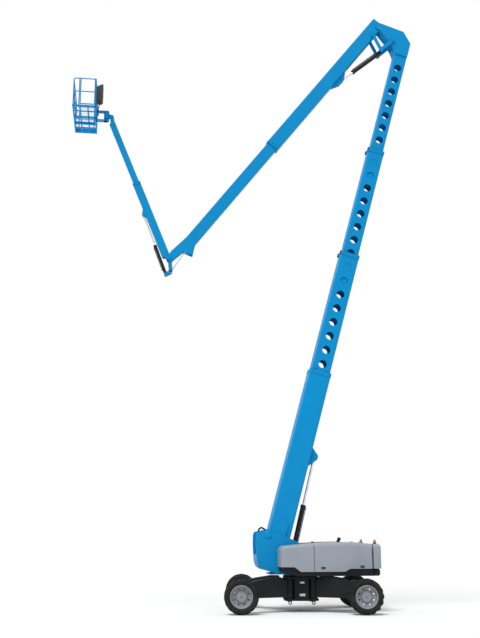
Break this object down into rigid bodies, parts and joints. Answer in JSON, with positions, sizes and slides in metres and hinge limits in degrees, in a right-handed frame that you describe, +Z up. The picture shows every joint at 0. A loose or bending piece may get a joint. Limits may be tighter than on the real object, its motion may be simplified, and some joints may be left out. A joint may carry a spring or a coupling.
{
  "type": "articulating boom lift",
  "caption": "Self-propelled articulating boom lift with swing-out axles, telescoping primary and secondary booms, a telescoping jib and a railed work platform.",
  "frame": {"origin": "point on the ground under the slew axis of the turntable", "axes": "+Z up, +X toward the rear of the chassis, the platform side is -X, -Y is the side that faces the camera"},
  "size_m": [13.4669, 4.2443, 23.1241],
  "materials": {
    "boom_blue": "gloss blue paint",
    "cover_grey": "satin grey paint",
    "frame_dark": "satin charcoal paint",
    "tyre": "matt rubber",
    "rim_grey": "satin grey paint",
    "rod_chrome": "polished chrome",
    "barrel_black": "gloss black paint",
    "iron": "painted casting",
    "lamp": "black plastic"
  },
  "bodies": {
    "chassis": {"chassis_frame": "frame_dark"},
    "axle_front_left": {"axle_arm_front_left": "frame_dark"},
    "steering_front_left": {"steering_knuckle_front_left": "frame_dark"},
    "wheel_front_left": {"wheel_rim_front_left": "rim_grey", "tyre_front_left": "tyre"},
    "axle_front_right": {"axle_arm_front_right": "frame_dark"},
    "steering_front_right": {"steering_knuckle_front_right": "frame_dark"},
    "wheel_front_right": {"wheel_rim_front_right": "rim_grey", "tyre_front_right": "tyre"},
    "axle_rear_left": {"axle_arm_rear_left": "frame_dark"},
    "steering_rear_left": {"steering_knuckle_rear_left": "frame_dark"},
    "wheel_rear_left": {"wheel_rim_rear_left": "rim_grey", "tyre_rear_left": "tyre"},
    "axle_rear_right": {"axle_arm_rear_right": "frame_dark"},
    "steering_rear_right": {"steering_knuckle_rear_right": "frame_dark"},
    "wheel_rear_right": {"wheel_rim_rear_right": "rim_grey", "tyre_rear_right": "tyre"},
    "turntable": {"turntable_riser": "boom_blue", "turntable_deck": "frame_dark", "counterweight": "iron", "engine_and_tanks": "iron", "front_covers": "cover_grey", "tail_fittings": "lamp"},
    "cover_left": {"engine_cover_left": "cover_grey"},
    "cover_right": {"engine_cover_right": "cover_grey"},
    "primary_base": {"primary_base": "boom_blue"},
    "primary_second": {"primary_second": "boom_blue"},
    "primary_third": {"primary_third": "boom_blue"},
    "primary_tip": {"primary_tip": "boom_blue"},
    "lift_barrel": {"primary_lift_barrel": "barrel_black"},
    "lift_rod": {"primary_lift_rod": "rod_chrome"},
    "secondary_base": {"secondary_base": "boom_blue"},
    "secondary_tip": {"secondary_tip": "boom_blue"},
    "fold_barrel": {"secondary_barrel": "barrel_black"},
    "fold_rod": {"secondary_rod": "rod_chrome"},
    "link_primary": {"knuckle_link_primary": "boom_blue"},
    "link_secondary": {"knuckle_link_secondary": "boom_blue"},
    "bellcrank": {"jib_bellcrank": "boom_blue"},
    "jib_base": {"jib_base": "boom_blue"},
    "jib_tip": {"jib_tip": "boom_blue"},
    "jib_barrel": {"jib_barrel": "barrel_black"},
    "jib_rod": {"jib_rod": "rod_chrome"},
    "level_barrel": {"level_barrel": "barrel_black"},
    "level_rod": {"level_rod": "rod_chrome"},
    "platform_head": {"platform_head": "frame_dark"},
    "platform": {"platform_floor": "boom_blue", "platform_rails": "boom_blue", "platform_console": "lamp"},
    "gate": {"platform_gate": "boom_blue"}
  },
  "joints": [
    {"name": "axle_swing_front_left", "type": "hinge", "parent": "chassis", "child": "axle_front_left", "pos_m": [-0.4, -0.58, 0.75], "axis": [0, 0, 1], "range_deg": [-24, 0]},
    {"name": "steer_front_left", "type": "hinge", "parent": "axle_front_left", "child": "steering_front_left", "pos_m": [-2.05, -1.35, 0.5775], "axis": [0, 0, 1], "range_deg": [-30, 30]},
    {"name": "wheel_spin_front_left", "type": "hinge", "parent": "steering_front_left", "child": "wheel_front_left", "pos_m": [-2.05, -1.75, 0.5775], "axis": [0, 1, 0], "continuous": true},
    {"name": "axle_swing_front_right", "type": "hinge", "parent": "chassis", "child": "axle_front_right", "pos_m": [-0.4, 0.58, 0.75], "axis": [0, 0, -1], "range_deg": [-24, 0]},
    {"name": "steer_front_right", "type": "hinge", "parent": "axle_front_right", "child": "steering_front_right", "pos_m": [-2.05, 1.35, 0.5775], "axis": [0, 0, 1], "range_deg": [-30, 30]},
    {"name": "wheel_spin_front_right", "type": "hinge", "parent": "steering_front_right", "child": "wheel_front_right", "pos_m": [-2.05, 1.75, 0.5775], "axis": [0, 1, 0], "continuous": true},
    {"name": "axle_swing_rear_left", "type": "hinge", "parent": "chassis", "child": "axle_rear_left", "pos_m": [0.4, -0.58, 0.75], "axis": [0, 0, -1], "range_deg": [-24, 0]},
    {"name": "steer_rear_left", "type": "hinge", "parent": "axle_rear_left", "child": "steering_rear_left", "pos_m": [2.05, -1.35, 0.5775], "axis": [0, 0, 1], "range_deg": [-30, 30]},
    {"name": "wheel_spin_rear_left", "type": "hinge", "parent": "steering_rear_left", "child": "wheel_rear_left", "pos_m": [2.05, -1.75, 0.5775], "axis": [0, 1, 0], "continuous": true},
    {"name": "axle_swing_rear_right", "type": "hinge", "parent": "chassis", "child": "axle_rear_right", "pos_m": [0.4, 0.58, 0.75], "axis": [0, 0, 1], "range_deg": [-24, 0]},
    {"name": "steer_rear_right", "type": "hinge", "parent": "axle_rear_right", "child": "steering_rear_right", "pos_m": [2.05, 1.35, 0.5775], "axis": [0, 0, 1], "range_deg": [-30, 30]},
    {"name": "wheel_spin_rear_right", "type": "hinge", "parent": "steering_rear_right", "child": "wheel_rear_right", "pos_m": [2.05, 1.75, 0.5775], "axis": [0, 1, 0], "continuous": true},
    {"name": "turntable_swing", "type": "hinge", "parent": "chassis", "child": "turntable", "pos_m": [0, 0, 1.194], "axis": [0, 0, 1], "continuous": true},
    {"name": "engine_cover_left_lift", "type": "hinge", "parent": "turntable", "child": "cover_left", "pos_m": [1.32777, -0.39003, 2.305], "axis": [-0.9914, -0.1305, 0], "range_deg": [0, 65]},
    {"name": "engine_cover_right_lift", "type": "hinge", "parent": "turntable", "child": "cover_right", "pos_m": [1.18158, 0.72039, 2.305], "axis": [0.9914, 0.1305, 0], "range_deg": [0, 65]},
    {"name": "primary_lift", "type": "hinge", "parent": "turntable", "child": "primary_base", "pos_m": [-1.17883, -0.1552, 2.564], "axis": [0.1305, -0.9914, 0], "range_deg": [-74.6, 5.4]},
    {"name": "primary_extend", "type": "slide", "parent": "primary_base", "child": "primary_second", "axis": [0.2633, 0.0347, 0.9641], "range_m": [-4.3, 0]},
    {"name": "primary_extend_third", "type": "slide", "parent": "primary_second", "child": "primary_third", "axis": [0.2633, 0.0347, 0.9641], "range_m": [-4.301, 0.001]},
    {"name": "primary_extend_tip", "type": "slide", "parent": "primary_third", "child": "primary_tip", "axis": [0.2633, 0.0347, 0.9641], "range_m": [-4.301, 0.001]},
    {"name": "lift_barrel_turn", "type": "hinge", "parent": "turntable", "child": "lift_barrel", "pos_m": [-0.33213, -0.04373, 1.6], "axis": [0.1305, -0.9914, 0], "range_deg": [-76.67, 5.64]},
    {"name": "lift_rod_slide", "type": "slide", "parent": "lift_barrel", "child": "lift_rod", "axis": [0.2394, 0.0315, 0.9704], "range_m": [-1.5597, 0.11476]},
    {"name": "secondary_lift", "type": "hinge", "parent": "primary_tip", "child": "secondary_base", "pos_m": [3.57173, 0.47023, 22.7462], "axis": [-0.1305, 0.9914, 0], "range_deg": [-22.5, 125]},
    {"name": "secondary_extend", "type": "slide", "parent": "secondary_base", "child": "secondary_tip", "axis": [-0.609, -0.0802, -0.7891], "range_m": [-4.85, 0]},
    {"name": "link_primary_turn", "type": "hinge", "parent": "primary_tip", "child": "link_primary", "pos_m": [4.0963, 0.53929, 22.1441], "axis": [-0.1305, 0.9914, 0], "range_deg": [-13.98, 77.19]},
    {"name": "link_secondary_turn", "type": "hinge", "parent": "secondary_base", "child": "link_secondary", "pos_m": [3.28337, 0.43226, 22.3124], "axis": [-0.1305, 0.9914, 0], "range_deg": [-111.33, 20.12]},
    {"name": "fold_rod_turn", "type": "hinge", "parent": "secondary_base", "child": "fold_rod", "pos_m": [1.96791, 0.25908, 20.3101], "axis": [-0.1305, 0.9914, 0], "range_deg": [-14.49, 2.69]},
    {"name": "fold_barrel_slide", "type": "slide", "parent": "fold_rod", "child": "fold_barrel", "axis": [0.7607, 0.1002, 0.6413], "range_m": [-0.17742, 0.97658]},
    {"name": "jib_level", "type": "hinge", "parent": "secondary_tip", "child": "bellcrank", "pos_m": [-4.71694, -0.621, 12.5313], "axis": [-0.1305, 0.9914, 0], "range_deg": [-125.1, 22.6]},
    {"name": "level_barrel_turn", "type": "hinge", "parent": "secondary_tip", "child": "level_barrel", "pos_m": [-3.42766, -0.45126, 13.9217], "axis": [-0.1305, 0.9914, 0], "range_deg": [-1.39, 7.26]},
    {"name": "level_rod_slide", "type": "slide", "parent": "level_barrel", "child": "level_rod", "axis": [-0.5476, -0.0721, -0.8336], "range_m": [-0.86992, 0.15822]},
    {"name": "jib_lift", "type": "hinge", "parent": "bellcrank", "child": "jib_base", "pos_m": [-4.71694, -0.621, 12.5313], "axis": [-0.1305, 0.9914, 0], "range_deg": [-110, 0]},
    {"name": "jib_extend", "type": "slide", "parent": "jib_base", "child": "jib_tip", "axis": [-0.3778, -0.0497, 0.9245], "range_m": [-2.44, 0]},
    {"name": "jib_barrel_turn", "type": "hinge", "parent": "bellcrank", "child": "jib_barrel", "pos_m": [-4.84583, -0.63797, 11.9253], "axis": [-0.1305, 0.9914, 0], "range_deg": [-108.88, 0.1]},
    {"name": "jib_rod_slide", "type": "slide", "parent": "jib_barrel", "child": "jib_rod", "axis": [-0.3585, -0.0472, 0.9324], "range_m": [-1.01665, 0.002]},
    {"name": "platform_level", "type": "hinge", "parent": "jib_tip", "child": "platform_head", "pos_m": [-7.02022, -0.92423, 18.1283], "axis": [-0.1305, 0.9914, 0], "range_deg": [-0.1, 110.1]},
    {"name": "platform_rotate", "type": "hinge", "parent": "platform_head", "child": "platform", "pos_m": [-7.21554, -0.94994, 18.1483], "axis": [0, 0, 1], "range_deg": [-80, 80]},
    {"name": "gate_swing", "type": "hinge", "parent": "platform", "child": "gate", "pos_m": [-7.49249, -2.11002, 18.5433], "axis": [0, 0, -1], "range_deg": [0, 85]}
  ],
  "couplings": [
    {"joint": "primary_extend_third", "follows": "primary_extend", "ratio": 1},
    {"joint": "primary_extend_tip", "follows": "primary_extend", "ratio": 1},
    {"joint": "lift_barrel_turn", "follows": "primary_lift", "ratio": 1.0264},
    {"joint": "lift_rod_slide", "follows": "primary_lift", "m_per_rad": 1.1964},
    {"joint": "link_primary_turn", "follows": "secondary_lift", "ratio": 0.61675},
    {"joint": "link_secondary_turn", "follows": "secondary_lift", "ratio": -0.88982},
    {"joint": "fold_rod_turn", "follows": "secondary_lift", "ratio": -0.11509},
    {"joint": "fold_barrel_slide", "follows": "secondary_lift", "m_per_rad": 0.44671},
    {"joint": "jib_level", "follows": "secondary_lift", "ratio": -1},
    {"joint": "level_barrel_turn", "follows": "secondary_lift", "ratio": 0.057248},
    {"joint": "level_rod_slide", "follows": "secondary_lift", "m_per_rad": -0.39782},
    {"joint": "jib_barrel_turn", "follows": "jib_lift", "ratio": 0.98894},
    {"joint": "jib_rod_slide", "follows": "jib_lift", "m_per_rad": 0.52849},
    {"joint": "platform_level", "follows": "jib_lift", "ratio": -1}
  ]
}
